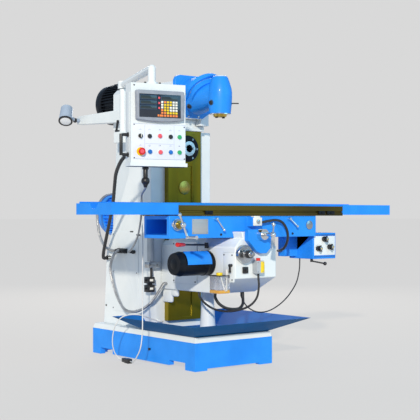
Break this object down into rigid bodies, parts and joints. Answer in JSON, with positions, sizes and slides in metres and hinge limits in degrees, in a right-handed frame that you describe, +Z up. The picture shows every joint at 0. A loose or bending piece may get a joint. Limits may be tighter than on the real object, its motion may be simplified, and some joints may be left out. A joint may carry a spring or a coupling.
{
  "type": "vertical milling machine",
  "caption": "Knee-type milling machine with a swivelling universal head on a ram, powered table, chip tray and swing-out control pendant.",
  "frame": {"origin": "on the floor under the middle of the column, on the machine's centre plane", "axes": "+Z up, -Y towards the operator (the machine's front), +X the operator's right along the table"},
  "size_m": [2.22, 1.8989, 1.844],
  "materials": {
    "blue_paint": "gloss machine enamel, light blue",
    "white_paint": "satin off-white machine enamel",
    "oiled_steel": "ground and oiled, yellow-brown film",
    "chrome": "bright plated",
    "steel": "turned, bright",
    "black_plastic": "black",
    "black_rubber": "black sheath",
    "motor_black": "black enamel on a cast shell",
    "red_plastic": "red",
    "blue_plastic": "blue",
    "green_plastic": "green",
    "oil_tank": "amber, translucent",
    "yellow_plastic": "yellow and grey",
    "grey_cable": "ribbed metal hose, grey",
    "light_cable": "off-white sheath",
    "lamp_grey": "pale blue-grey enamel",
    "console_grey": "grey",
    "pendant_white": "satin off-white enamel on sheet metal"
  },
  "bodies": {
    "frame": {"base": "blue_paint", "chip_tray": "blue_paint", "column": "white_paint", "column_ways": "oiled_steel", "cabinet_cover": "white_paint", "column_top": "white_paint", "rear_motor": "blue_paint", "screw_pedestal": "white_paint", "pendant_post": "white_paint", "supply_lead": "light_cable", "lead_plug": "black_plastic", "tray_lead": "light_cable", "armoured_cable": "grey_cable", "pendant_conduit": "black_rubber", "knee_conduit": "grey_cable"},
    "ram": {"ram": "white_paint", "ram_motor": "motor_black", "lamp_bracket": "white_paint"},
    "lamp": {"lamp_head": "lamp_grey"},
    "ram_clamp": {"ram_clamp_lever": "black_plastic"},
    "head_swivel": {"swivel_housing": "blue_paint"},
    "head_tilt": {"spindle_housing": "blue_paint"},
    "spindle": {"vertical_spindle": "oiled_steel"},
    "arbor_spindle": {"horizontal_spindle": "steel"},
    "elevating_screw": {"elevating_screw": "steel"},
    "knee": {"knee": "white_paint", "cross_bracket": "blue_paint", "feed_motor": "motor_black", "lubricator_tank": "oil_tank", "switch_box": "yellow_plastic", "gearbox_cable": "black_rubber"},
    "cross_crank": {"cross_crank": "chrome"},
    "elevating_dial": {"elevating_dial": "steel"},
    "lubricator_lever": {"lubricator_lever": "black_plastic"},
    "switch_button": {"switch_button": "red_plastic"},
    "rapid_lever": {"rapid_lever": "red_plastic"},
    "saddle": {"saddle_beam": "blue_paint", "feed_gearbox": "blue_paint", "feed_hose": "black_rubber"},
    "speed_knob_upper": {"speed_knob_upper": "black_plastic"},
    "speed_knob_middle": {"speed_knob_middle": "black_plastic"},
    "speed_knob_lower": {"speed_knob_lower": "black_plastic"},
    "gearbox_lever": {"gearbox_lever": "black_plastic"},
    "traverse_crank": {"traverse_crank": "chrome"},
    "table_clamp_left": {"table_clamp_left": "chrome"},
    "table_clamp_right": {"table_clamp_right": "chrome"},
    "table": {"table": "oiled_steel", "left_guard": "blue_paint", "right_guard": "blue_paint"},
    "pendant": {"pendant_arm": "pendant_white", "pendant_box": "pendant_white", "display_console": "console_grey"},
    "mode_selector": {"mode_selector": "black_plastic"},
    "black_button_left": {"black_button_left": "black_plastic"},
    "black_button_right": {"black_button_right": "black_plastic"},
    "green_button_upper": {"green_button_upper": "green_plastic"},
    "emergency_stop": {"emergency_stop": "red_plastic"},
    "blue_button_left": {"blue_button_left": "blue_plastic"},
    "blue_button_right": {"blue_button_right": "blue_plastic"},
    "green_button_lower": {"green_button_lower": "green_plastic"}
  },
  "joints": [
    {"name": "knee_lift", "type": "slide", "parent": "frame", "child": "knee", "axis": [0, 0, 1], "range_m": [-0.1, 0.1], "deforming": ["knee_conduit"]},
    {"name": "saddle_cross", "type": "slide", "parent": "knee", "child": "saddle", "axis": [0, 1, 0], "range_m": [-0.07, 0.15], "deforming": ["gearbox_cable"]},
    {"name": "table_traverse", "type": "slide", "parent": "saddle", "child": "table", "axis": [1, 0, 0], "range_m": [-0.4, 0.3]},
    {"name": "ram_slide", "type": "slide", "parent": "frame", "child": "ram", "axis": [0, -1, 0], "range_m": [-0.04, 0.3]},
    {"name": "head_swivel", "type": "hinge", "parent": "ram", "child": "head_swivel", "pos_m": [0, -0.07, 1.65], "axis": [0, 1, 0], "range_deg": [-90, 90]},
    {"name": "head_tilt", "type": "hinge", "parent": "head_swivel", "child": "head_tilt", "pos_m": [0, -0.222, 1.696], "axis": [0, -0.7071, -0.7071], "range_deg": [-90, 180]},
    {"name": "spindle_turn", "type": "hinge", "parent": "head_tilt", "child": "spindle", "pos_m": [0, -0.372, 1.529], "axis": [0, 0, 1], "continuous": true},
    {"name": "arbor_turn", "type": "hinge", "parent": "frame", "child": "arbor_spindle", "pos_m": [0, -0.03, 1.35], "axis": [0, 1, 0], "continuous": true},
    {"name": "elevating_screw_turn", "type": "hinge", "parent": "knee", "child": "elevating_screw", "pos_m": [0, -0.25, 0.455], "axis": [0, 0, 1], "range_deg": [-7220, 7220]},
    {"name": "elevating_dial_turn", "type": "hinge", "parent": "knee", "child": "elevating_dial", "pos_m": [-0.104, -0.7103, 0.696], "axis": [0, 1, 0], "range_deg": [-7220, 7220]},
    {"name": "cross_crank_turn", "type": "hinge", "parent": "knee", "child": "cross_crank", "pos_m": [0, -0.75, 0.81], "axis": [0, 1, 0], "range_deg": [-5060, 10820]},
    {"name": "traverse_crank_turn", "type": "hinge", "parent": "saddle", "child": "traverse_crank", "pos_m": [-0.53, -0.6273, 0.869], "axis": [0, 1, 0], "range_deg": [-28820, 21620]},
    {"name": "lamp_tilt", "type": "hinge", "parent": "ram", "child": "lamp", "pos_m": [-0.21, 0.945, 1.59], "axis": [1, 0, 0], "range_deg": [-30, 30]},
    {"name": "ram_clamp_turn", "type": "hinge", "parent": "frame", "child": "ram_clamp", "pos_m": [-0.15, 0.44, 1.483], "axis": [1, 0, 0], "range_deg": [-30, 30]},
    {"name": "lubricator_lever_turn", "type": "hinge", "parent": "knee", "child": "lubricator_lever", "pos_m": [-0.1603, -0.685, 0.63], "axis": [1, 0, 0], "range_deg": [-35, 35]},
    {"name": "switch_button_press", "type": "slide", "parent": "knee", "child": "switch_button", "axis": [0, 0, -1], "range_m": [0, 0.004], "stiffness_N_per_m": 400, "springref_m": -0.002},
    {"name": "rapid_lever_turn", "type": "hinge", "parent": "knee", "child": "rapid_lever", "pos_m": [-0.1725, -0.456, 0.745], "axis": [0, 0, 1], "range_deg": [-12, 12]},
    {"name": "speed_knob_upper_turn", "type": "hinge", "parent": "saddle", "child": "speed_knob_upper", "pos_m": [0.666, -0.6003, 0.771], "axis": [0, 1, 0], "range_deg": [-60, 60]},
    {"name": "speed_knob_middle_turn", "type": "hinge", "parent": "saddle", "child": "speed_knob_middle", "pos_m": [0.714, -0.6003, 0.72], "axis": [0, 1, 0], "range_deg": [-60, 60]},
    {"name": "speed_knob_lower_turn", "type": "hinge", "parent": "saddle", "child": "speed_knob_lower", "pos_m": [0.612, -0.6003, 0.712], "axis": [0, 1, 0], "range_deg": [-60, 60]},
    {"name": "gearbox_lever_turn", "type": "hinge", "parent": "saddle", "child": "gearbox_lever", "pos_m": [0.6, -0.56, 0.6447], "axis": [0, 0, 1], "range_deg": [-30, 30]},
    {"name": "table_clamp_left_turn", "type": "hinge", "parent": "saddle", "child": "table_clamp_left", "pos_m": [-0.245, -0.6273, 0.9], "axis": [0, 1, 0], "range_deg": [-30, 30]},
    {"name": "table_clamp_right_turn", "type": "hinge", "parent": "saddle", "child": "table_clamp_right", "pos_m": [0.335, -0.6273, 0.9], "axis": [0, 1, 0], "range_deg": [-30, 30]},
    {"name": "pendant_swing", "type": "hinge", "parent": "frame", "child": "pendant", "pos_m": [-0.26, 0.315, 1.75], "axis": [0, 0, 1], "range_deg": [-60, 0], "deforming": ["armoured_cable", "pendant_conduit"]},
    {"name": "mode_selector_turn", "type": "hinge", "parent": "pendant", "child": "mode_selector", "pos_m": [-0.64408, -0.44036, 1.3775], "axis": [0.225, 0.9744, 0], "range_deg": [-45, 45]},
    {"name": "black_button_left_press", "type": "slide", "parent": "pendant", "child": "black_button_left", "axis": [0.225, 0.9744, 0], "range_m": [0, 0.004], "stiffness_N_per_m": 400, "springref_m": -0.002},
    {"name": "black_button_right_press", "type": "slide", "parent": "pendant", "child": "black_button_right", "axis": [0.225, 0.9744, 0], "range_m": [0, 0.004], "stiffness_N_per_m": 400, "springref_m": -0.002},
    {"name": "green_button_upper_press", "type": "slide", "parent": "pendant", "child": "green_button_upper", "axis": [0.225, 0.9744, 0], "range_m": [0, 0.004], "stiffness_N_per_m": 400, "springref_m": -0.002},
    {"name": "emergency_stop_press", "type": "slide", "parent": "pendant", "child": "emergency_stop", "axis": [0.225, 0.9744, 0], "range_m": [0, 0.005], "stiffness_N_per_m": 400, "springref_m": -0.002},
    {"name": "blue_button_left_press", "type": "slide", "parent": "pendant", "child": "blue_button_left", "axis": [0.225, 0.9744, 0], "range_m": [0, 0.004], "stiffness_N_per_m": 400, "springref_m": -0.002},
    {"name": "blue_button_right_press", "type": "slide", "parent": "pendant", "child": "blue_button_right", "axis": [0.225, 0.9744, 0], "range_m": [0, 0.004], "stiffness_N_per_m": 400, "springref_m": -0.002},
    {"name": "green_button_lower_press", "type": "slide", "parent": "pendant", "child": "green_button_lower", "axis": [0.225, 0.9744, 0], "range_m": [0, 0.004], "stiffness_N_per_m": 400, "springref_m": -0.002}
  ],
  "couplings": [
    {"joint": "elevating_screw_turn", "follows": "knee_lift", "rad_per_m": 1256.6},
    {"joint": "elevating_dial_turn", "follows": "knee_lift", "rad_per_m": 1256.6},
    {"joint": "cross_crank_turn", "follows": "saddle_cross", "rad_per_m": 1256.6},
    {"joint": "traverse_crank_turn", "follows": "table_traverse", "rad_per_m": 1256.6}
  ]
}
